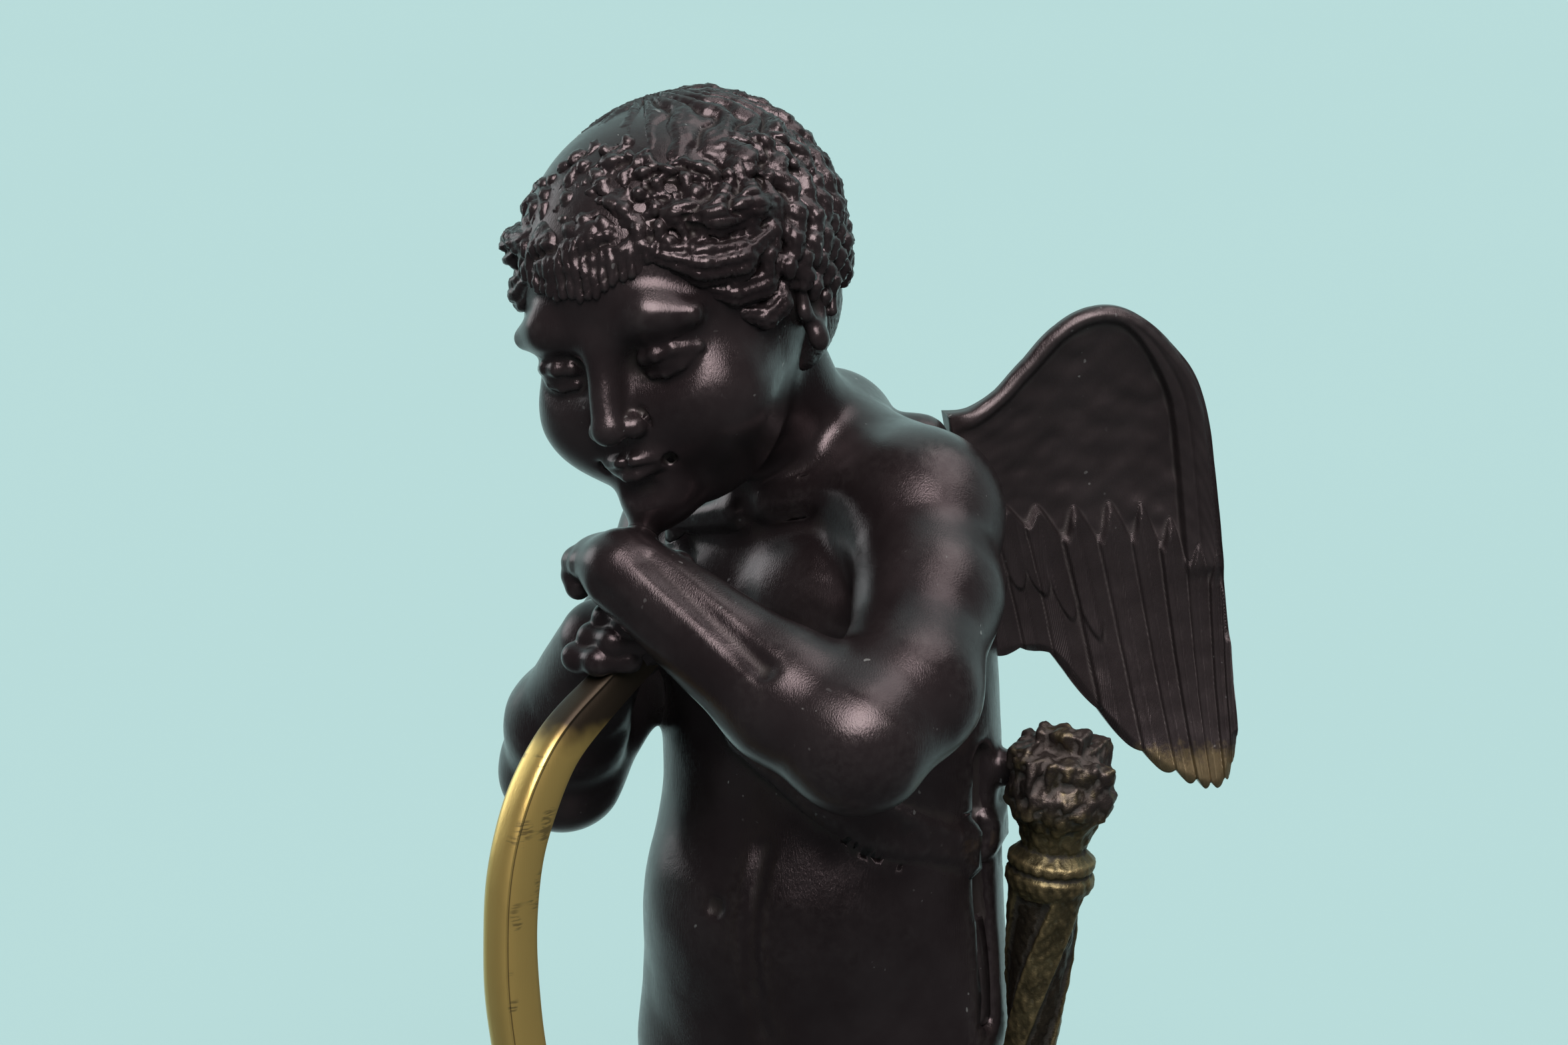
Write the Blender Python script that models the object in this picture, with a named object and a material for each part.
"""A winged cupid leaning on his bow: a cast bronze statuette on a low round base.

Metres, +Z up, the front towards -Y. The origin is the middle of the underside of the base.
The figure is a free form. Its pose, proportions and carving are given in shares of its height,
with 285 shares from the soles to the top of the bowed head.
"""

import math
import random

import bmesh
import bpy
import numpy as np
from mathutils import Euler, Matrix, Vector

# Driving sizes.
FIGURE_HEIGHT = 0.285
SEAM_GAP = 0.0003

BASE_DIAMETER = 0.112
BASE_HEIGHT = 0.014
BASE_STEP = 0.005
SOLES_SETBACK = 0.014

BOW_WIDTH = 0.0055
BOW_DEPTH = 0.0070
BOW_END_WIDTH = 0.0041
BOW_BULGE = 0.0195
BOW_RECESS = 0.0085

QUIVER_LENGTH = 0.074
QUIVER_MOUTH_DIAMETER = 0.0178
QUIVER_RING_DIAMETER = 0.0134
QUIVER_FOOT_DIAMETER = 0.0070
QUIVER_RIB_HEIGHT = 0.0009
LUG_DIAMETER = 0.006
QUIVER_TWIST = 160
QUIVER_SIDES = 18
FLIGHTS = 8

WING_SPAN = 0.0395
WING_HEIGHT = 0.0760
WING_THICKNESS = 0.0026
WING_ROOT_THICKNESS = 0.0060
WING_RIM = 0.0013
WING_RIM_WIDTH = 0.0030
WING_SHOULDER_WIDTH = 0.0080
WING_CAMBER = 0.0035
WING_CUP = 0.0060
WING_ROOT_LEAN = 10
FEATHERS = 10
FEATHER_RELIEF = 0.0012

STRAP_WIDTH = 0.0085
STRAP_HEIGHT = 0.0009

# One share of the figure's height, and where the soles' middle stands.
SHARE = FIGURE_HEIGHT / 285
SOLES = Vector((0, SOLES_SETBACK, BASE_HEIGHT + SEAM_GAP))

# Joints of the figure in shares: his left is +X, his front is -Y, and the soles are at 0.
LEFT_SHOULDER = (24.8, -8.3, 221.8)
LEFT_ELBOW = (38.0, -44.6, 197.9)
LEFT_WRIST = (1.8, -49.0, 217.8)
RIGHT_SHOULDER = (-26.5, 6.0, 210.0)
RIGHT_ELBOW = (-27.7, -26.0, 179.5)
RIGHT_WRIST = (-8.0, -41.0, 204.3)
FIST = (-0.3, -42.6, 208.2)
RIGHT_HIP = (-14.0, 1.0, 130.0)
RIGHT_KNEE = (-14.0, -2.0, 74.0)
RIGHT_ANKLE = (-14.0, 4.0, 12.0)
LEFT_HIP = (11.0, 0.0, 126.0)
LEFT_KNEE = (17.0, -15.0, 74.0)
LEFT_ANKLE = (18.0, 3.0, 13.0)

# The head bows, leans to his right and turns a little to his left.
HEAD_CENTRE = Vector((-5.0, -27.0, 252.3))
HEAD_SHARE = 0.91
HEAD_TURN = (
    Matrix.Rotation(math.radians(5), 3, "Z")
    @ Matrix.Rotation(math.radians(-12), 3, "Y")
    @ Matrix.Rotation(math.radians(13), 3, "X")
)

# The bow bulges away from the figure, along this level direction.
BOW_TOP = (-2.0, -46.0, 205.5)
BOW_AHEAD = Vector((-0.25, -0.97, 0)).normalized()

# Each wing leaves the shoulder blade outwards and backwards.
LEFT_WING_ROOT = (18.6, 18.6, 231.8)
LEFT_WING_OUT = Vector((0.70, 0.71, 0)).normalized()
RIGHT_WING_ROOT = (-18.5, 21.6, 224.0)
RIGHT_WING_OUT = Vector((-0.70, 0.71, 0)).normalized()
WING_ROOT_SPAN = (0.30, 0.79)

QUIVER_MOUTH = (37.4, 12.3, 187.2)
QUIVER_AXIS = Vector((-0.13, 0.01, -1.0)).normalized()

# How finely the clay is worked, in shares, and how many triangles each piece keeps.
CLAY_GRAIN = 1.15
SOLE_FLATTENING = 0.4
FIGURE_TRIANGLES = 5900
WING_TRIANGLES = 760
QUIVER_TRIANGLES = 800
QUIVER_GRAIN = 0.0006


def clear_scene():
    for item in list(bpy.data.objects):
        bpy.data.objects.remove(item, do_unlink=True)


def material(name, colour, roughness, metallic):
    made = bpy.data.materials.new(name)
    made.use_nodes = True
    shader = made.node_tree.nodes["Principled BSDF"]
    shader.inputs["Base Color"].default_value = (*colour, 1)
    shader.inputs["Roughness"].default_value = roughness
    shader.inputs["Metallic"].default_value = metallic
    return made


def new_object(name, shape, made_of):
    """A named object from a bmesh, which this frees."""
    mesh = bpy.data.meshes.new(name)
    shape.to_mesh(mesh)
    shape.free()
    mesh.materials.append(made_of)
    item = bpy.data.objects.new(name, mesh)
    bpy.context.scene.collection.objects.link(item)
    return item


def evaluated_mesh(item):
    """The object's mesh with its modifiers applied."""
    bpy.context.view_layer.update()
    return bpy.data.meshes.new_from_object(item.evaluated_get(bpy.context.evaluated_depsgraph_get()))


def apply_modifiers(item):
    mesh = evaluated_mesh(item)
    item.modifiers.clear()
    item.data = mesh


def vertices_of(mesh):
    points = np.empty(len(mesh.vertices) * 3)
    mesh.vertices.foreach_get("co", points)
    return points.reshape(-1, 3)


def set_vertices(mesh, points):
    mesh.vertices.foreach_set("co", points.ravel())
    mesh.update()


def shade_round(item, angle=40):
    item.data.shade_smooth()
    item.data.set_sharp_from_angle(angle=math.radians(angle))


class Limb:
    """A rounded bar between two points, with a radius at each end."""

    def __init__(self, start, end, start_radius, end_radius):
        self.start = np.array(start, float)
        self.along = np.array(end, float) - self.start
        self.radii = (start_radius, end_radius)
        self.centre = self.start + self.along / 2
        self.reach = np.linalg.norm(self.along) / 2 + max(self.radii)

    def distance(self, points):
        offset = points - self.start
        share = np.clip(offset @ self.along / (self.along @ self.along), 0, 1)
        radius = self.radii[0] + (self.radii[1] - self.radii[0]) * share
        return np.linalg.norm(offset - share[:, None] * self.along, axis=1) - radius

    def add_shell(self, shape):
        balls = bmesh.new()
        for place, radius in ((self.start, self.radii[0]), (self.start + self.along, self.radii[1])):
            bmesh.ops.create_icosphere(
                balls, subdivisions=2, radius=radius, matrix=Matrix.Translation(Vector(place))
            )
        hull = bmesh.ops.convex_hull(balls, input=balls.verts)
        bmesh.ops.delete(balls, geom=hull["geom_interior"], context="VERTS")
        join(shape, balls)


class Egg:
    """An ellipsoid with its own turn."""

    def __init__(self, centre, radii, turn=Matrix.Identity(3)):
        self.centre = np.array(centre, float)
        self.radii = np.array(radii, float)
        self.turn = np.array(turn)
        self.reach = self.radii.max()

    def distance(self, points):
        local = (points - self.centre) @ self.turn
        near = np.linalg.norm(local / self.radii, axis=1)
        slope = np.linalg.norm(local / self.radii**2, axis=1)
        return near * (near - 1) / np.maximum(slope, 1e-6)

    def add_shell(self, shape):
        ball = bmesh.new()
        place = Matrix.Translation(Vector(self.centre)) @ Matrix(self.turn).to_4x4()
        size = Matrix.Diagonal((*self.radii, 1))
        bmesh.ops.create_icosphere(ball, subdivisions=3, radius=1, matrix=place @ size)
        join(shape, ball)


def join(shape, other):
    """Adds one bmesh's geometry to another, and frees it."""
    mesh = bpy.data.meshes.new("joined")
    other.to_mesh(mesh)
    other.free()
    shape.from_mesh(mesh)
    bpy.data.meshes.remove(mesh)


class Clay:
    """Rounded forms pressed together one after another, each softened into the ones before it."""

    def __init__(self):
        self.steps = []

    def add(self, form, blend=1.0):
        self.steps.append((form, blend, False))

    def carve(self, form, blend=1.0):
        self.steps.append((form, blend, True))

    def limb(self, start, end, start_radius, end_radius, blend=1.0):
        self.add(Limb(start, end, start_radius, end_radius), blend)

    def egg(self, centre, radii, blend=1.0, turn=Matrix.Identity(3)):
        self.add(Egg(centre, radii, turn), blend)

    def near(self, points, margin):
        """For each form, which points it can touch."""
        return [
            np.flatnonzero(((points - form.centre) ** 2).sum(axis=1) < (form.reach + blend + margin) ** 2)
            for form, blend, _ in self.steps
        ]

    def distance(self, points, near):
        surface = np.full(len(points), 1e3)
        for (form, blend, inward), which in zip(self.steps, near):
            if not len(which):
                continue
            there = form.distance(points[which])
            here = surface[which]
            if inward:
                there = -there
                overlap = np.maximum(blend - np.abs(here - there), 0) / blend
                surface[which] = np.maximum(here, there) + overlap**2 * blend / 4
            else:
                overlap = np.maximum(blend - np.abs(here - there), 0) / blend
                surface[which] = np.minimum(here, there) - overlap**2 * blend / 4
        return surface

    def shell(self):
        """The forms as one bmesh of overlapping primitives."""
        shape = bmesh.new()
        for form, _, inward in self.steps:
            if not inward:
                form.add_shell(shape)
        return shape


def settle(points, field, rounds=4, step=0.05, farthest=1.2):
    """Moves points onto the surface where the field is zero, along its slope."""
    points = points.copy()
    for _ in range(rounds):
        here = field(points)
        slope = np.stack(
            [(field(points + step * axis) - here) / step for axis in np.eye(3)], axis=1
        )
        size = np.maximum((slope**2).sum(axis=1), 0.05)
        move = np.clip(here / size, -farthest, farthest)[:, None] * slope
        points -= move
    return points


def relax(mesh, rounds):
    """Evens out the faces a little before they are put back on the surface."""
    shape = bmesh.new()
    shape.from_mesh(mesh)
    for _ in range(rounds):
        bmesh.ops.smooth_vert(
            shape, verts=shape.verts, factor=0.5, use_axis_x=True, use_axis_y=True, use_axis_z=True
        )
    shape.to_mesh(mesh)
    shape.free()


def remesh(item, grain):
    modifier = item.modifiers.new("Remesh", "REMESH")
    modifier.mode = "VOXEL"
    modifier.voxel_size = grain
    modifier.adaptivity = 0
    apply_modifiers(item)


def thin_out(item, triangles):
    """Merges faces where the surface is plainest until this many triangles are left."""
    item.data.calc_loop_triangles()
    modifier = item.modifiers.new("Decimate", "DECIMATE")
    modifier.ratio = triangles / len(item.data.loop_triangles)
    modifier.use_collapse_triangulate = True
    apply_modifiers(item)


def head_point(x, y, z):
    return HEAD_CENTRE + HEAD_TURN @ Vector((x, y, z)) * HEAD_SHARE


def head_egg(clay, centre, radii, blend, carve=False, turn=Matrix.Identity(3)):
    form = Egg(head_point(*centre), [size * HEAD_SHARE for size in radii], HEAD_TURN @ turn)
    (clay.carve if carve else clay.add)(form, blend)


def head_limb(clay, start, end, start_radius, end_radius, blend, carve=False):
    form = Limb(head_point(*start), head_point(*end), start_radius * HEAD_SHARE, end_radius * HEAD_SHARE)
    (clay.carve if carve else clay.add)(form, blend)


def add_torso(clay):
    clay.egg((-3, 0, 141), (25.5, 19.5, 23), 6)
    clay.egg((4, 3, 141), (21, 17, 23), 6)
    clay.egg((0.5, -3.5, 159), (25, 22, 22), 8)
    clay.egg((0.5, 1, 182), (25, 20.5, 26), 8)
    clay.egg((0.5, -1, 203), (25, 17.5, 20), 8)
    clay.limb((8.6, 7.8, 139), (7.8, 7.1, 198), 18.2, 16.7, 8)
    clay.limb((-6.0, 6.5, 142), (-6.0, 6.0, 198), 16.5, 16, 8)
    clay.limb((18, -3, 219), (-19, 6, 206), 13, 12, 8)
    clay.egg((-12, 11, 129), (14, 13, 14), 5)
    clay.egg((10, 9.5, 127), (13.5, 12.5, 13.5), 5)
    clay.limb((0, 0, 218), (-2, -12, 240), 12, 11, 6)
    clay.limb((0, 3.5, 228), LEFT_SHOULDER, 9, 9, 6)
    clay.limb((-2, 8, 228), RIGHT_SHOULDER, 9, 8, 6)
    for side in (-1, 1):
        clay.egg((11 * side + 0.5, -14 - 1.5 * side, 205 + 3 * side), (10.5, 6, 8.5), 5)
        clay.egg((12 * side, 16 - side, 208 + 2.5 * side), (9, 6, 13), 6)
    clay.carve(Egg((-0.3, -26.6, 162.6), (1.7, 2.6, 1.9)), 1.2)
    clay.carve(Limb((-0.5, 24, 200), (-0.5, 24.5, 150), 1.6, 1.6), 4)
    clay.carve(Limb((25.5, 6.0, 182), (25.0, 6.5, 142), 1.8, 1.8), 3)


def add_left_arm(clay):
    shoulder, elbow, wrist = Vector(LEFT_SHOULDER), Vector(LEFT_ELBOW), Vector(LEFT_WRIST)
    bulge = shoulder.lerp(elbow, 0.35) + Vector((3.6, 2.0, -0.8))
    bend = shoulder.lerp(elbow, 0.70) + Vector((4.9, 0.2, -2.1))
    muscle = elbow.lerp(wrist, 0.30) + Vector((0, 0.4, -1.3))
    clay.egg(shoulder, (10.2, 10.4, 10.6), 6)
    clay.limb(shoulder, bulge, 9.8, 9.8, 5)
    clay.limb(bulge, bend, 9.8, 9.8, 4)
    clay.limb(bend, elbow, 9.8, 9.5, 4)
    clay.limb(elbow, muscle, 9.5, 9.2, 4)
    clay.limb(muscle, wrist, 9.2, 6.1, 3)


def add_right_arm(clay):
    clay.egg(RIGHT_SHOULDER, (9.8, 10.2, 10.4), 6)
    bulge = Vector(RIGHT_SHOULDER).lerp(Vector(RIGHT_ELBOW), 0.45)
    clay.limb(RIGHT_SHOULDER, bulge, 9.4, 8.8, 5)
    clay.limb(bulge, RIGHT_ELBOW, 8.8, 8.8, 3)
    muscle = Vector(RIGHT_ELBOW).lerp(Vector(RIGHT_WRIST), 0.35) + Vector((-1.6, -0.2, 0.4))
    clay.limb(RIGHT_ELBOW, muscle, 8.8, 8.6, 3)
    clay.limb(muscle, RIGHT_WRIST, 8.6, 6.8, 3)


def add_finger(clay, joints, root_radius, tip_radius, blend=0.7):
    """A finger as rounded bars through its joints, thinner towards the tip."""
    radii = np.linspace(root_radius, tip_radius, len(joints))
    for i in range(len(joints) - 1):
        clay.limb(joints[i], joints[i + 1], radii[i], radii[i + 1], blend)


def add_right_hand(clay):
    """The fist round the top of the bow, with its four fingers one above another."""
    fist = Vector(FIST)
    clay.egg(fist + Vector((-2.0, 2.0, -1.0)), (4.8, 5.5, 7.0), 2.5)
    for i in range(4):
        lift = Vector((0.6, 0.5, 1.0)).normalized() * (3.5 * i - 5.4)
        joints = [
            fist + Vector((-4.2, -0.6, 0)) + lift,
            fist + Vector((-3.6, -4.6, 0.4)) + lift,
            fist + Vector((0.8, -5.6, 0.6)) + lift,
            fist + Vector((3.8, -2.6, 0.6)) + lift,
        ]
        add_finger(clay, joints, 2.25, 1.8)
    thumb = [fist + Vector(p) for p in ((0, 4.0, 0), (4.5, 2.2, 3.6), (5.0, -1.5, 5.6))]
    add_finger(clay, thumb, 3.2, 2.1)


def add_left_hand(clay):
    """The back of the hand under the chin, with the fingers hanging over the fist."""
    wrist = Vector(LEFT_WRIST)
    ahead = Vector((-0.83, 0.56, 0.02))
    aside = Vector((0.56, 0.83, 0))
    turn = Matrix.Rotation(math.radians(-34), 3, "Z")
    clay.egg(wrist + ahead * 5.5 + aside * 0.8 + Vector((0, 0, 0.3)), (7.4, 6.8, 4.0), 2.5, turn)
    for i in range(4):
        knuckle = wrist + ahead * 6.0 + aside * (3.4 * i - 4.2)
        joints = [
            knuckle,
            knuckle + ahead * 2.7 + Vector((0, 0, -0.4)),
            knuckle + ahead * 3.3 + Vector((0, 0, -2.4)),
            knuckle + ahead * 2.2 + Vector((0, 0, -3.8)),
        ]
        add_finger(clay, joints, 2.15, 1.7)
    reaches = ((1, 4.5, 0), (4, 9, -1.5), (8, 10, -3))
    thumb = [wrist + ahead * a + aside * b + Vector((0, 0, c)) for a, b, c in reaches]
    add_finger(clay, thumb, 3.0, 2.0)


def add_leg(clay, hip, knee, ankle, toe_turn):
    """One leg with its foot. The foot points forwards, turned out by the given angle."""
    hip, knee, ankle = Vector(hip), Vector(knee), Vector(ankle)
    thigh = hip.lerp(knee, 0.45) + Vector((0, -1.0, 0))
    calf = knee.lerp(ankle, 0.38) + Vector((0, 3.0, 0))
    clay.limb(hip, thigh, 15.8, 14.6, 5)
    clay.limb(thigh, knee + Vector((0, 0, 6)), 14.6, 10.9, 6)
    clay.limb(knee + Vector((0, 0, 8)), knee + Vector((0, 0, -5)), 10.7, 10.1, 6)
    clay.egg(knee + Vector((0, -6.2, 1)), (5.2, 4.2, 6.0), 4)
    clay.limb(knee + Vector((0, 0, -4)), calf, 9.8, 10.3, 6)
    clay.limb(calf, ankle, 10.2, 6.2, 4)
    for side in (-1, 1):
        clay.egg(ankle + Vector((5.0 * side, 0, 0.5 * side)), (2.6, 3.2, 3.2), 2)
    ahead = Matrix.Rotation(toe_turn, 3, "Z") @ Vector((0, -1, 0))
    aside = Vector((-ahead.y, ahead.x, 0))
    sole = Vector((ankle.x, ankle.y, 0))
    heel = sole - ahead * 7.5 + Vector((0, 0, 6.4))
    ball = sole + ahead * 22 + Vector((0, 0, 4.8))
    clay.limb(ankle + Vector((0, 0, -2)), heel, 6.4, 6.6, 3)
    clay.limb(ankle + Vector((0, 0, -1)), ball, 6.6, 5.0, 3.5)
    for shift in (-4.4, 0, 4.4):
        arch = sole - ahead * 2 + aside * shift * 0.6 + Vector((0, 0, 5))
        clay.limb(arch, ball + aside * shift, 5, 4.8, 3)
    for i in range(5):
        spread = (i - 2) * 3.6 * (1 if toe_turn > 0 else -1)
        size = 3.3 if i == 4 else 2.5
        length = (8.8, 10.0, 11.2, 11.6, 11.8)[i]
        root = ball + aside * spread * 0.9 - Vector((0, 0, 1.2))
        tip = ball + aside * spread + ahead * (length - 3.5) - Vector((0, 0, 4.8 - size))
        clay.limb(root, tip, size, size * 0.92, 1.0)


def add_head(clay):
    head_egg(clay, (0, 2, 6), (23, 27.5, 25), 4)
    head_egg(clay, (0, -8, -12), (17, 18, 18), 6)
    for side in (-1, 1):
        head_egg(clay, (10.5 * side, -15, -11), (9, 9, 9), 5)
    head_egg(clay, (0, -20.5, -24), (6, 5.5, 5), 4)
    for side in (-1, 1):
        head_egg(clay, (9.5 * side, -27.0, -1), (6.0, 5.0, 4.2), 4, carve=True)
        head_egg(clay, (9.2 * side, -19.6, -1.6), (5.2, 5.2, 5.0), 1.2)
    head_limb(clay, (0, -24, -1), (0, -28.4, -9.2), 2.4, 3.0, 2.5)
    for side in (-1, 1):
        head_egg(clay, (3.1 * side, -25.8, -9.8), (2.1, 2.2, 1.9), 1.2)
    head_egg(clay, (0, -24.4, -15.2), (5.6, 3.0, 1.7), 1.2)
    head_egg(clay, (0, -24.0, -18.4), (4.6, 3.0, 2.0), 1.0)
    head_limb(clay, (-5.2, -26.8, -16.8), (5.2, -26.8, -16.8), 0.6, 0.6, 0.8, carve=True)
    for side in (-1, 1):
        slope = Matrix.Rotation(math.radians(12 * side), 3, "Z")
        head_egg(clay, (22.3 * side, 1.5, -3.5), (2.2, 4.2, 6.4), 1.5, turn=slope)
        head_egg(clay, (24.8 * side, 0.6, -3.0), (1.2, 2.2, 3.6), 0.8, carve=True)


def hairline(direction):
    """How far a point of the scalp, as a direction from the head's middle, is inside the hair."""
    front = max(-direction.y, 0)
    low = -0.42 + 0.42 * min(1, front * 2.2) + 0.50 * front**3
    return direction.z - low


def add_hair(clay, spacing, thickness, radius, length, seed):
    """Short locks laid in rings round the crown, each a bent comma that follows the scalp."""
    head_egg(clay, (1.6, 5.4, 8.5), (23.4, 26.0, 22.8), 1.5)
    head_egg(clay, (0.8, 11, -4), (19.8, 17.5, 17), 2)
    dice = random.Random(seed)
    crown = Vector((-0.1, 0.35, 0.93)).normalized()
    across = crown.cross(Vector((0, 1, 0))).normalized()
    scalp = Vector((23.2, 27.0, 23.8))
    middle = Vector((1.6, 4.0, 6.6))
    rings = int(2.45 * scalp.y / spacing)
    for ring in range(rings):
        angle = (ring + 0.35) * 2.45 / rings
        count = max(4, round(2 * math.pi * math.sin(angle) * scalp.y / spacing))
        for i in range(count):
            turn = 2 * math.pi * (i + 0.5 * (ring % 2)) / count + dice.uniform(-0.12, 0.12)
            spoke = Matrix.Rotation(turn, 3, crown) @ across
            outward = crown * math.cos(angle) + spoke * math.sin(angle)
            along = spoke * math.cos(angle) - crown * math.sin(angle)
            swirl = dice.choice((-1, 1)) * dice.uniform(0.25, 0.8)
            if hairline(outward) < 0.0:
                continue
            along = Matrix.Rotation(swirl, 3, outward) @ along
            place = middle + Vector(outward[k] * (scalp[k] + thickness * 0.3) for k in range(3))
            bend = Matrix.Rotation(-2.1 * swirl, 3, outward)
            joints = [place - along * length * 0.45 - outward * radius * 0.3]
            joints.append(place + outward * radius * 0.35)
            joints.append(joints[1] + bend @ along * length * 0.5 - outward * radius * 0.5)
            sizes = (radius * 1.05, radius, radius * 0.55)
            for k in range(2):
                head_limb(clay, joints[k], joints[k + 1], sizes[k], sizes[k + 1], 0.6)


# The strap's middle line, round the body from the left hip over the right shoulder, in shares.
STRAP_ROUTE = (
    (25.5, 4, 169),
    (20.5, -13, 175.3),
    (10.5, -20.5, 182.7),
    (1, -21.5, 188.5),
    (-6, -20, 198),
    (-13, -15, 208),
    (-18, -6, 217),
    (-17, 8, 219),
    (-12, 20, 210),
    (-1, 24, 194),
    (13, 23.5, 179),
    (22.5, 15.5, 171),
)

# The knot of the loin cloth, on the right hip, in shares.
KNOT = (-24.5, -9.0, 122.0)


def cloth_surface(points, hips):
    """The loin cloth: a wrap that hangs in folds from its knot, with a rolled upper edge."""
    turn = np.arctan2(points[:, 1], points[:, 0])
    from_knot = np.abs((turn - math.atan2(KNOT[1], KNOT[0]) + math.pi) % (2 * math.pi) - math.pi) * 25
    drop = KNOT[2] + 7 - points[:, 2]
    fan = np.arctan2(drop, from_knot + 4)
    folds = 1.25 * np.sin(fan * 15 + 0.02 * from_knot) * np.clip(from_knot / 14, 0.2, 1)
    top = 125 + 3.0 * np.sin(turn + 2.2)
    hem = 97 + 4.0 * np.sin(turn - 0.9) + 1.3 * np.sin(fan * 15 + 1.2)
    wrap = np.maximum(hips - 2.3 - folds, np.maximum(points[:, 2] - top, hem - points[:, 2]))
    roll = np.hypot(hips - 1.8, points[:, 2] - top) - 2.3 - 0.5 * np.sin(turn * 16 + 0.6 * points[:, 2])
    return np.minimum(wrap, roll)


class Figure:
    """The whole figure: body, strap and loin cloth, as one distance field in shares."""

    def __init__(self, lock_spacing, lock_radius, lock_length):
        self.body = Clay()
        add_torso(self.body)
        add_leg(self.body, RIGHT_HIP, RIGHT_KNEE, RIGHT_ANKLE, -0.30)
        add_leg(self.body, LEFT_HIP, LEFT_KNEE, LEFT_ANKLE, 0.38)
        self.strapped = len(self.body.steps)
        add_left_arm(self.body)
        add_right_arm(self.body)
        add_right_hand(self.body)
        add_left_hand(self.body)
        add_head(self.body)
        add_hair(self.body, lock_spacing, 3.0, lock_radius, lock_length, seed=7)
        add_knot(self.body)
        add_lugs(self.body)
        add_wing_bosses(self.body)
        self.strap = Clay()
        for start, end in zip(STRAP_ROUTE, STRAP_ROUTE[1:] + STRAP_ROUTE[:1]):
            self.strap.limb(start, end, STRAP_WIDTH / SHARE / 2, STRAP_WIDTH / SHARE / 2)
        self.hips = Clay()
        self.hips.egg((-3, 0, 141), (25.5, 19.5, 23), 6)
        self.hips.egg((4, 3, 141), (21, 17, 23), 6)
        self.hips.egg((-12, 11, 129), (14, 13, 14), 5)
        self.hips.egg((10, 9.5, 127), (13.5, 12.5, 13.5), 5)
        for hip, knee in ((RIGHT_HIP, RIGHT_KNEE), (LEFT_HIP, LEFT_KNEE)):
            low = Vector(hip).lerp(Vector(knee), 0.8) + Vector((0, -1, 0))
            self.hips.limb(hip, low, 15.8, 14.2, 14)

    def shell(self):
        shape = self.body.shell()
        cloth = bmesh.new()
        place = Matrix.Translation((-1, -1, 112)) @ Matrix.Diagonal((29, 20, 18, 1))
        bmesh.ops.create_icosphere(cloth, subdivisions=4, radius=1, matrix=place)
        join(shape, cloth)
        return shape

    def field(self, points):
        """Fixes which forms each point is near, and gives the distance as a function."""
        near = self.body.near(points, 4)
        hip_near = self.hips.near(points, 8)
        strap_near = self.strap.near(points, 4)
        torso = np.unique(np.concatenate(strap_near))
        strap_near = [np.flatnonzero(np.isin(torso, which)) for which in strap_near]
        bare = Clay()
        bare.steps = self.body.steps[: self.strapped]
        bare_near = [np.flatnonzero(np.isin(torso, which)) for which in near[: self.strapped]]
        cloth = np.flatnonzero((points[:, 2] > 84) & (points[:, 2] < 152))
        hip_near = [np.flatnonzero(np.isin(cloth, which)) for which in hip_near]

        def distance(moved):
            surface = self.body.distance(moved, near)
            if len(torso):
                there = moved[torso]
                band = bare.distance(there, bare_near) - STRAP_HEIGHT / SHARE
                band = np.maximum(band, self.strap.distance(there, strap_near))
                surface[torso] = np.minimum(surface[torso], band)
            if len(cloth):
                there = moved[cloth]
                skirt = cloth_surface(there, self.hips.distance(there, hip_near))
                surface[cloth] = np.minimum(surface[cloth], skirt)
            return surface

        return distance


def add_knot(clay):
    """The knot on the right hip, with two short ends hanging from it."""
    knot = Vector(KNOT)
    clay.egg(knot, (5.0, 4.4, 4.4), 1.2)
    for reach, drop in ((-3.5, 24), (3.5, 19)):
        end = knot + Vector((-1.0, reach, -drop))
        clay.limb(knot + Vector((-1, 0, -2)), knot.lerp(end, 0.5) + Vector((-2.2, 0, 0)), 2.4, 3.0, 1.0)
        clay.limb(knot.lerp(end, 0.5) + Vector((-2.2, 0, 0)), end, 3.0, 3.6, 1.0)


def add_lugs(clay):
    """Two lugs from the hip that the quiver seats on."""
    mouth = Vector(QUIVER_MOUTH)
    radius = LUG_DIAMETER / SHARE / 2
    for down, reach in ((0.10, -7), (0.80, 0)):
        seat = mouth + QUIVER_AXIS * (down * QUIVER_LENGTH / SHARE)
        body_end = seat + Vector((-20, -1, -1))
        clay.limb(body_end, seat + Vector((reach, 0, 0)), radius, 0.9 * radius, radius / 2)


def wing_root(root, out):
    """The ends of the line where a wing meets its boss, up it and square to it, in shares."""
    lean = math.radians(WING_ROOT_LEAN)
    drop = (WING_ROOT_SPAN[1] - WING_ROOT_SPAN[0]) * WING_HEIGHT / SHARE
    up = Vector((0, 0, math.cos(lean))) - out * math.sin(lean)
    square = out * math.cos(lean) + Vector((0, 0, math.sin(lean)))
    low = Vector(root) - Vector((0, 0, drop))
    return low, low + up * drop / math.cos(lean), up, square


def add_wing_bosses(clay):
    """A ridge on each shoulder blade, as long and as thick as the wing's root."""
    radius = WING_ROOT_THICKNESS / SHARE / 2 + 0.2
    for root, out in ((LEFT_WING_ROOT, LEFT_WING_OUT), (RIGHT_WING_ROOT, RIGHT_WING_OUT)):
        low, high, up, square = wing_root(root, out)
        for back in (4, 0):
            start, end = low + up * radius, high - up * radius
            clay.limb(start - square * back, end - square * back, radius, radius, 4)


def cut(item, cutter):
    """Takes the cutter's volume out of the item for good."""
    cutter.hide_render = True
    cutter.display_type = "WIRE"
    modifier = item.modifiers.new("Cut", "BOOLEAN")
    modifier.operation = "DIFFERENCE"
    modifier.solver = "EXACT"
    modifier.object = cutter
    apply_modifiers(item)
    bpy.data.objects.remove(cutter)


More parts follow.
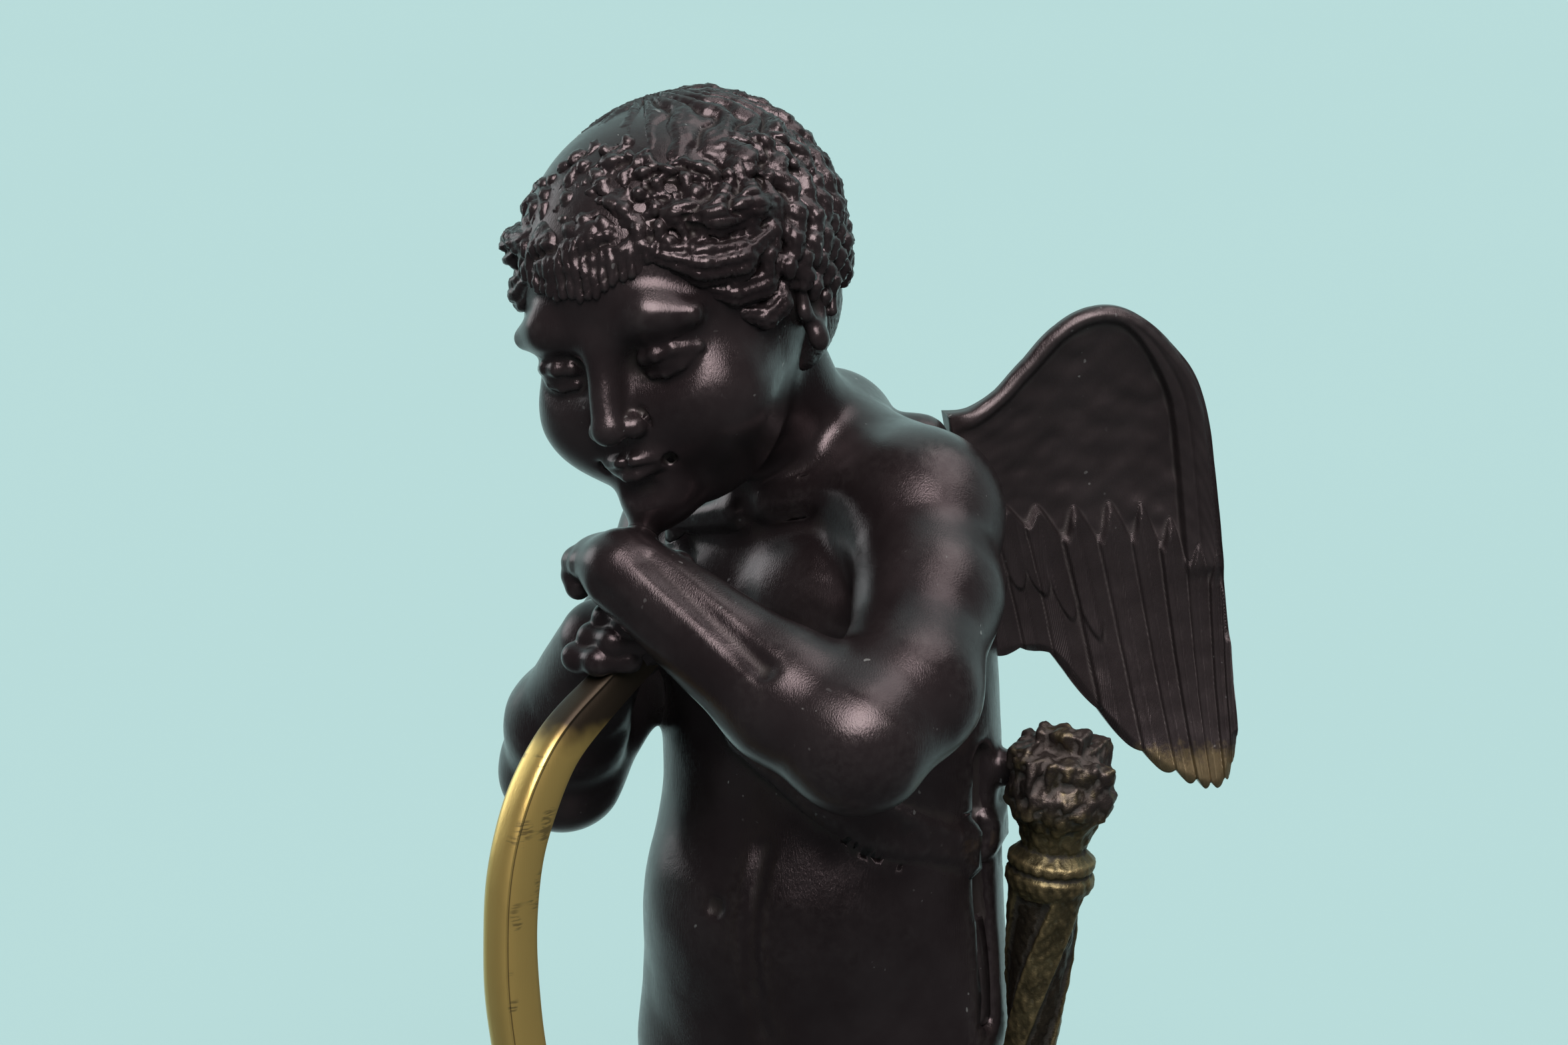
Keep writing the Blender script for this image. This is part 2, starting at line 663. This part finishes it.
def body_point(place):
    """A place given in shares of the figure, in metres on the base."""
    return Vector(place) * SHARE + SOLES


def make_base(bronze):
    """A low round plinth, turned from its half profile."""
    radius = BASE_DIAMETER / 2
    half_profile = (
        (radius, 0),
        (radius, 0.30 * BASE_HEIGHT),
        (radius - 0.35 * BASE_STEP, 0.42 * BASE_HEIGHT),
        (radius - 0.80 * BASE_STEP, 0.52 * BASE_HEIGHT),
        (radius - BASE_STEP, 0.64 * BASE_HEIGHT),
        (radius - BASE_STEP, 0.90 * BASE_HEIGHT),
        (radius - 1.2 * BASE_STEP, BASE_HEIGHT),
    )
    shape = bmesh.new()
    points = [shape.verts.new((x, 0, z)) for x, z in half_profile]
    edges = [shape.edges.new(pair) for pair in zip(points, points[1:])]
    turn = 2 * math.pi
    axis = (0, 0, 1)
    bmesh.ops.spin(
        shape, geom=points + edges, axis=axis, cent=(0, 0, 0), angle=turn, steps=36, use_merge=True
    )
    bmesh.ops.holes_fill(shape, edges=[edge for edge in shape.edges if edge.is_boundary])
    bmesh.ops.recalc_face_normals(shape, faces=shape.faces)
    item = new_object("base", shape, bronze)
    shade_round(item)


def smooth_path(points, count):
    """A smooth curve through the points, read at evenly spaced steps between them."""
    points = np.array(points, float)
    ends = np.vstack((2 * points[0] - points[1], points, 2 * points[-1] - points[-2]))
    path = []
    for place in np.linspace(0, len(points) - 1, count):
        i = min(int(place), len(points) - 2)
        t = place - i
        a, b, c, d = ends[i : i + 4]
        bend = 2 * a - 5 * b + 4 * c - d
        twist = 3 * b - a - 3 * c + d
        path.append(0.5 * (2 * b + (c - a) * t + bend * t**2 + twist * t**3))
    return np.array(path)


def bow_path(count):
    """Offsets ahead of the string line and heights over the base, from the lower tip to the top."""
    top = body_point(BOW_TOP)
    half = (top.z - BASE_HEIGHT - SEAM_GAP) / 2
    upper = (
        (0, BOW_RECESS),
        (0.22, BOW_RECESS + 0.34 * (BOW_BULGE - BOW_RECESS)),
        (0.45, 0.92 * BOW_BULGE),
        (0.61, BOW_BULGE),
        (0.75, 0.91 * BOW_BULGE),
        (0.87, 0.59 * BOW_BULGE),
        (0.95, 0.07 * BOW_BULGE),
        (1.0, -0.33 * BOW_BULGE),
    )
    lower = [(-height, ahead) for height, ahead in upper[:0:-1]]
    path = smooth_path(lower + list(upper), count)
    return [(ahead, BASE_HEIGHT + SEAM_GAP + half * (1 + height)) for height, ahead in path]


def bow_section(width, depth):
    """The section's corners, to the side and to the front: nearly flat faces with soft corners."""
    w, d = width / 2, depth / 2
    right = (
        (0.60 * w, -d),
        (0.88 * w, -0.80 * d),
        (w, -0.10 * d),
        (0.98 * w, 0.50 * d),
        (0.86 * w, 0.86 * d),
        (0.45 * w, d),
    )
    return right + tuple((-x, y) for x, y in reversed(right))


def make_bow(brass, name="bow", grow=0.0, stations=31):
    """The bow swept along its path. The lower tip is cut level on the base."""
    top = body_point(BOW_TOP)
    side = Vector((0, 0, 1)).cross(BOW_AHEAD)
    foot = Vector((top.x, top.y, 0))
    path = [foot + BOW_AHEAD * ahead + Vector((0, 0, z)) for ahead, z in bow_path(stations)]
    shape = bmesh.new()
    rings = []
    for i, place in enumerate(path):
        along = (path[min(i + 1, stations - 1)] - path[max(i - 1, 0)]).normalized()
        front = along.cross(side)
        share = abs(2 * i / (stations - 1) - 1)
        taper = 1 + (BOW_END_WIDTH / BOW_WIDTH - 1) * max(0, (share - 0.55) / 0.45) ** 1.5
        section = bow_section(BOW_WIDTH * taper + 2 * grow, BOW_DEPTH * taper + 2 * grow)
        if i in (0, stations - 1):
            place = place + along * grow * (1 if i else -1)
        rings.append([shape.verts.new(place + side * x - front * y) for x, y in section])
    for low, high in zip(rings, rings[1:]):
        for k in range(len(low)):
            shape.faces.new((low[k - 1], low[k], high[k], high[k - 1]))
    shape.faces.new(rings[0])
    shape.faces.new(list(reversed(rings[-1])))
    bmesh.ops.recalc_face_normals(shape, faces=shape.faces)
    floor = BASE_HEIGHT + SEAM_GAP
    whole = shape.verts[:] + shape.edges[:] + shape.faces[:]
    bmesh.ops.bisect_plane(
        shape, geom=whole, plane_co=(0, 0, floor), plane_no=(0, 0, 1), clear_inner=True
    )
    bmesh.ops.holes_fill(shape, edges=[edge for edge in shape.edges if edge.is_boundary])
    bmesh.ops.recalc_face_normals(shape, faces=shape.faces)
    item = new_object(name, shape, brass)
    shade_round(item)
    return item


def quiver_profile():
    """Distance down the axis and radius, from the mouth's rim to the finial."""
    mouth = QUIVER_MOUTH_DIAMETER / 2
    ring = QUIVER_RING_DIAMETER / 2
    foot = QUIVER_FOOT_DIAMETER / 2
    profile = (
        (0.14, mouth * 0.95),
        (0.185, mouth * 0.78),
        (0.21, mouth * 0.64),
        (0.25, ring * 0.72),
        (0.265, ring * 0.86),
        (0.285, ring),
        (0.325, ring),
        (0.345, ring * 0.90),
        (0.62, (ring + foot) * 0.44),
        (0.90, foot * 0.9),
        (0.92, foot),
        (0.955, foot),
        (1.0, foot * 0.3),
    )
    return [(down * QUIVER_LENGTH, radius) for down, radius in profile]


def make_quiver(brass, name="quiver", grow=0.0):
    """A turned case with twisted ribs, and the flights of its arrows bunched above the mouth."""
    profile = quiver_profile()
    top = body_point(QUIVER_MOUTH)
    turn = QUIVER_AXIS.to_track_quat("Z", "X").to_matrix()
    shape = bmesh.new()
    rings = []
    for down, radius in profile:
        rings.append([])
        plain = grow > 0 or not 0.33 < down / QUIVER_LENGTH < 0.91
        for k in range(QUIVER_SIDES):
            angle = 2 * math.pi * k / QUIVER_SIDES
            groove = 0.5 - 0.5 * math.cos(3 * angle - QUIVER_TWIST * down)
            size = radius + grow - (0 if plain else QUIVER_RIB_HEIGHT * groove)
            drop = down + (grow if down == QUIVER_LENGTH else 0)
            place = Vector((math.cos(angle) * size, math.sin(angle) * size, drop))
            rings[-1].append(shape.verts.new(top + turn @ place))
    for upper, lower in zip(rings, rings[1:]):
        for k in range(QUIVER_SIDES):
            shape.faces.new((upper[k - 1], upper[k], lower[k], lower[k - 1]))
    shape.faces.new(rings[0])
    shape.faces.new(rings[-1])
    bmesh.ops.recalc_face_normals(shape, faces=shape.faces)
    dice = random.Random(3)
    mouth = QUIVER_MOUTH_DIAMETER / 2
    for i in range(FLIGHTS):
        angle = 2 * math.pi * i / (FLIGHTS - 1) + 0.3
        spread = 0.52 * mouth if i < FLIGHTS - 1 else 0
        height = dice.uniform(0.02, 0.06) * QUIVER_LENGTH * min(1, spread / mouth * 2)
        low = 0.17 * QUIVER_LENGTH
        size = (mouth * 0.85 + 2 * grow, mouth * 0.42 + 2 * grow, low - height + 2 * grow, 1)
        middle = Vector((math.cos(angle) * spread, math.sin(angle) * spread, (low + height) / 2))
        tilts = [dice.uniform(-0.16, 0.16) for _ in range(2)]
        lean = turn @ Euler((*tilts, dice.uniform(0, math.pi))).to_matrix()
        place = Matrix.Translation(top + turn @ middle) @ lean.to_4x4() @ Matrix.Diagonal(size)
        bmesh.ops.create_cube(shape, size=1, matrix=place)
    item = new_object(name, shape, brass)
    remesh(item, QUIVER_GRAIN)
    thin_out(item, QUIVER_TRIANGLES)
    shade_round(item)
    return item


def wing_edges(count):
    """Leading and trailing edge from root to tip, out from the root and up from the tip, in metres."""
    root_rise = (WING_ROOT_SPAN[1] - WING_ROOT_SPAN[0]) * WING_HEIGHT
    root_shift = root_rise * math.tan(math.radians(WING_ROOT_LEAN)) / WING_SPAN
    leading = (
        (-root_shift, WING_ROOT_SPAN[1]),
        (-0.09, 0.805),
        (0.01, 0.84),
        (0.12, 0.90),
        (0.24, 0.965),
        (0.38, 1.0),
        (0.53, 0.99),
        (0.69, 0.925),
        (0.825, 0.82),
        (0.90, 0.62),
        (0.955, 0.33),
    )
    trailing = (
        (0, WING_ROOT_SPAN[0]),
        (0.13, 0.305),
        (0.26, 0.285),
        (0.45, 0.163),
        (0.62, 0.075),
        (0.745, 0.037),
        (0.82, 0.022),
        (0.87, 0.017),
        (0.92, 0.027),
        (0.95, 0.06),
        (0.975, 0.12),
    )
    size = np.array((WING_SPAN, WING_HEIGHT))
    return smooth_path(leading, count) * size, smooth_path(trailing, count) * size


def rise(values, low, high):
    """0 up to the low value and 1 from the high one, with a smooth rise between."""
    share = np.clip((values - low) / (high - low), 0, 1)
    return share * share * (3 - 2 * share)


def wing_shape(u, v, side):
    """Places of the wing in metres: out from the root, up from the tip, and forwards."""
    steps = np.linspace(0, 1, 24 * FEATHERS + 1)
    leading, trailing = wing_edges(len(steps))
    start = np.stack([np.interp(u, steps, leading[:, k]) for k in range(2)], axis=1)
    end = np.stack([np.interp(u, steps, trailing[:, k]) for k in range(2)], axis=1)
    feather = np.abs(np.sin(math.pi * u * FEATHERS))
    place = start + (end - start) * (v * (1 - 0.02 * (1 - feather) * v**6))[:, None]
    to_leading, to_trailing = (
        np.sqrt(((place[:, None] - edge[None]) ** 2).sum(axis=2).min(axis=1))
        for edge in (leading, trailing)
    )
    out, up = place[:, 0] / WING_SPAN, place[:, 1] / WING_HEIGHT
    at_root = np.maximum(0, 1 - u / 0.22) ** 2
    margin = np.minimum(to_leading, to_trailing) / (WING_THICKNESS / 2)
    half = WING_THICKNESS / 2 * (0.35 + 0.65 * np.sqrt(np.clip(margin, 0, 1)))
    half += (WING_ROOT_THICKNESS / 2 - half) * at_root
    hollow_end = 0.45 - 0.35 * np.clip(5 * u - 4, 0, 1)
    long_feathers = rise(v, hollow_end, hollow_end + 0.05) * (0.35 + 0.65 * feather)
    width = WING_RIM_WIDTH + (WING_SHOULDER_WIDTH - WING_RIM_WIDTH) * rise(u, 0.55, 0.80)
    rim = rise(width - to_leading, 0, 0.5 * WING_RIM_WIDTH) * rise(up, 0.43, 0.47)
    relief = FEATHER_RELIEF * long_feathers + np.where(side > 0, WING_RIM * rim, 0)
    relief *= (1 - at_root) * (0.3 + 0.7 * np.clip(margin, 0, 1))
    bend = WING_CAMBER * ((2 * out - 1) ** 2 - 1) + WING_CUP * (2 * up - 1) ** 2
    return place[:, 0], place[:, 1], bend * (1 - at_root) + side * (half + relief)


def make_wing(bronze, name, root, out, wide=41, long=44):
    """A wing as one thick sheet: a rolled leading edge, a smooth hollow, and long feathers below."""
    shape = bmesh.new()
    for side in (1, -1):
        sheet = bmesh.new()
        middle = Matrix.Translation((0.5, 0.5, side))
        bmesh.ops.create_grid(
            sheet, x_segments=wide, y_segments=long, size=0.5, matrix=middle
        )
        join(shape, sheet)
    bmesh.ops.bridge_loops(shape, edges=[edge for edge in shape.edges if edge.is_boundary])
    item = new_object(name, shape, bronze)
    out_from_root, up_from_tip, ahead = wing_shape(*vertices_of(item.data).T)
    forward = Vector((0, 0, 1)).cross(out) * (-1 if out.x > 0 else 1)
    low, _, _, square = wing_root(root, out)
    seat = body_point(low) + square * SEAM_GAP
    points = np.outer(out_from_root, out) + np.outer(ahead, forward) + np.array(seat)
    points[:, 2] += up_from_tip - WING_ROOT_SPAN[0] * WING_HEIGHT
    set_vertices(item.data, points)
    shape = bmesh.new()
    shape.from_mesh(item.data)
    bmesh.ops.recalc_face_normals(shape, faces=shape.faces)
    if shape.calc_volume(signed=True) < 0:
        bmesh.ops.reverse_faces(shape, faces=shape.faces)
    shape.to_mesh(item.data)
    shape.free()
    thin_out(item, WING_TRIANGLES)
    points = vertices_of(item.data)
    behind = (points - np.array(seat)) @ np.array(square)
    points -= np.where(behind < SEAM_GAP, behind, 0)[:, None] * np.array(square)
    set_vertices(item.data, points)
    shade_round(item)
    return item


def wing_cutter(root, out):
    """A block outwards of the root's plane, which leaves the boss flat."""
    low, high, up, square = wing_root(root, out)
    reach = 2 * WING_ROOT_THICKNESS
    size = Matrix.Diagonal((reach, 3 * WING_ROOT_THICKNESS, 0.6 * WING_HEIGHT, 1))
    turn = Matrix((square, up.cross(square), up)).transposed().to_4x4()
    middle = body_point((low + high) / 2) + square * (reach / 2)
    shape = bmesh.new()
    bmesh.ops.create_cube(shape, size=1, matrix=Matrix.Translation(middle) @ turn @ size)
    return new_object("wing_cutter", shape, bpy.data.materials["dark bronze"])


def make_figure(bronze):
    figure = Figure(lock_spacing=7.4, lock_radius=2.3, lock_length=8.0)
    item = new_object("cupid_figure", figure.shell(), bronze)
    remesh(item, CLAY_GRAIN)
    for rounds in (2, 1):
        points = settle(vertices_of(item.data), figure.field(vertices_of(item.data)))
        set_vertices(item.data, points)
        relax(item.data, rounds)
    points = settle(vertices_of(item.data), figure.field(vertices_of(item.data)), rounds=3)
    set_vertices(item.data, points)
    thin_out(item, FIGURE_TRIANGLES)
    points = vertices_of(item.data)
    points[points[:, 2] < SOLE_FLATTENING, 2] = 0
    set_vertices(item.data, points * SHARE + np.array(SOLES))
    shade_round(item)
    return item


def main():
    clear_scene()
    bronze = material("dark bronze", (0.045, 0.035, 0.033), 0.34, 0.9)
    brass = material("worn brass", (0.36, 0.25, 0.09), 0.36, 0.95)
    figure = make_figure(bronze)
    make_base(bronze)
    make_bow(brass)
    make_quiver(brass)
    for side, root, out in (
        ("left", LEFT_WING_ROOT, LEFT_WING_OUT),
        ("right", RIGHT_WING_ROOT, RIGHT_WING_OUT),
    ):
        make_wing(bronze, "wing_" + side, root, out)
        cut(figure, wing_cutter(root, out))
    cut(figure, make_bow(brass, "bow_cutter", SEAM_GAP))
    cut(figure, make_quiver(brass, "quiver_cutter", SEAM_GAP))


if __name__ == "__main__":
    main()
